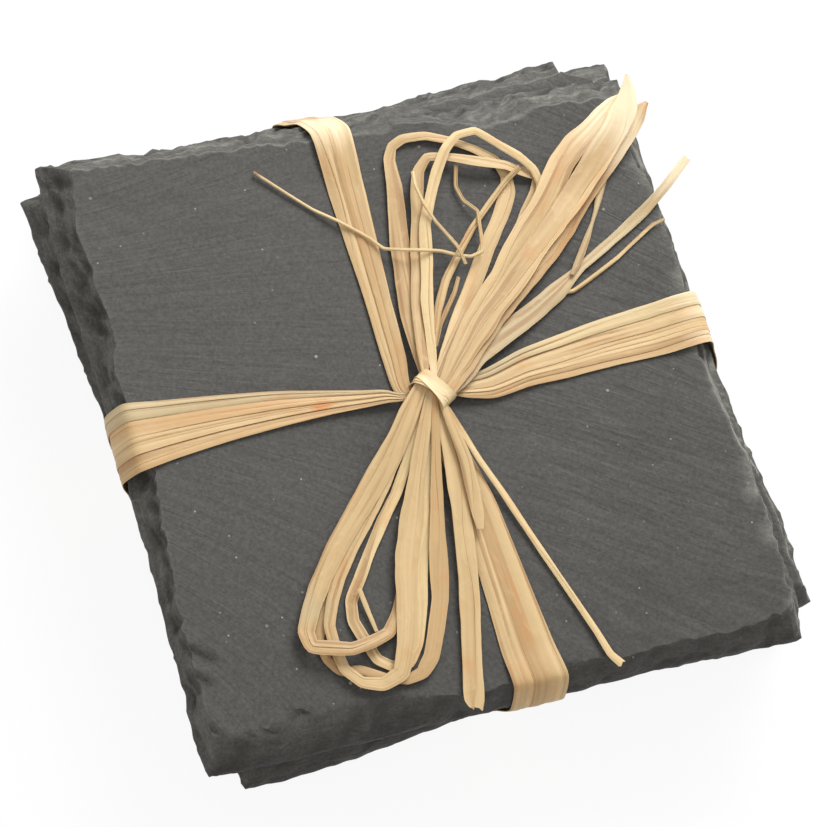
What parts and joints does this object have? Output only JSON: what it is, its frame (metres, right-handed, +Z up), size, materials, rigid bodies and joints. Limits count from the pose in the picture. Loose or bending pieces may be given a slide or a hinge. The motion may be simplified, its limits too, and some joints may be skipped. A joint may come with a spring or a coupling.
{
  "type": "drink coaster set",
  "caption": "Stack of square split-slate drink coasters with rough dressed edges and felt pads, tied both ways with flat raffia in a looped bow.",
  "frame": {"origin": "under the middle of the stack, on the surface that it stands on", "axes": "+Z up through the stack, +X to the right edge and +Y to the back edge of the top slate"},
  "size_m": [0.1082, 0.11, 0.0283],
  "materials": {
    "slate": "matt riven",
    "felt": "matt felt",
    "raffia": "dry satin fibre"
  },
  "bodies": {
    "root": {"slate_top": "slate", "slate_second": "slate", "slate_third": "slate", "slate_bottom": "slate", "pad_top_1": "felt", "pad_top_2": "felt", "pad_top_3": "felt", "pad_top_4": "felt", "pad_second_1": "felt", "pad_second_2": "felt", "pad_second_3": "felt", "pad_second_4": "felt", "pad_third_1": "felt", "pad_third_2": "felt", "pad_third_3": "felt", "pad_third_4": "felt", "pad_bottom_1": "felt", "pad_bottom_2": "felt", "pad_bottom_3": "felt", "pad_bottom_4": "felt", "band_across_1": "raffia", "band_across_2": "raffia", "band_across_3": "raffia", "band_across_4": "raffia", "band_along_1": "raffia", "band_along_2": "raffia", "band_along_3": "raffia", "knot_wrap": "raffia", "knot_core": "raffia", "loop_upper_outer": "raffia", "loop_upper_middle": "raffia", "loop_upper_inner": "raffia", "strand_cross": "raffia", "tail_left": "raffia", "tail_middle": "raffia", "tail_right": "raffia", "tail_pale": "raffia", "fibre_long_right": "raffia", "fibre_branch": "raffia", "loop_lower_outer": "raffia", "loop_lower_second": "raffia", "loop_lower_third": "raffia", "loop_lower_under": "raffia", "tail_lower_flat": "raffia", "tail_lower_short": "raffia", "tail_lower_round": "raffia", "fibre_long_left": "raffia", "fibre_curl": "raffia", "fibre_short": "raffia", "fibre_lower": "raffia"}
  },
  "joints": []
}
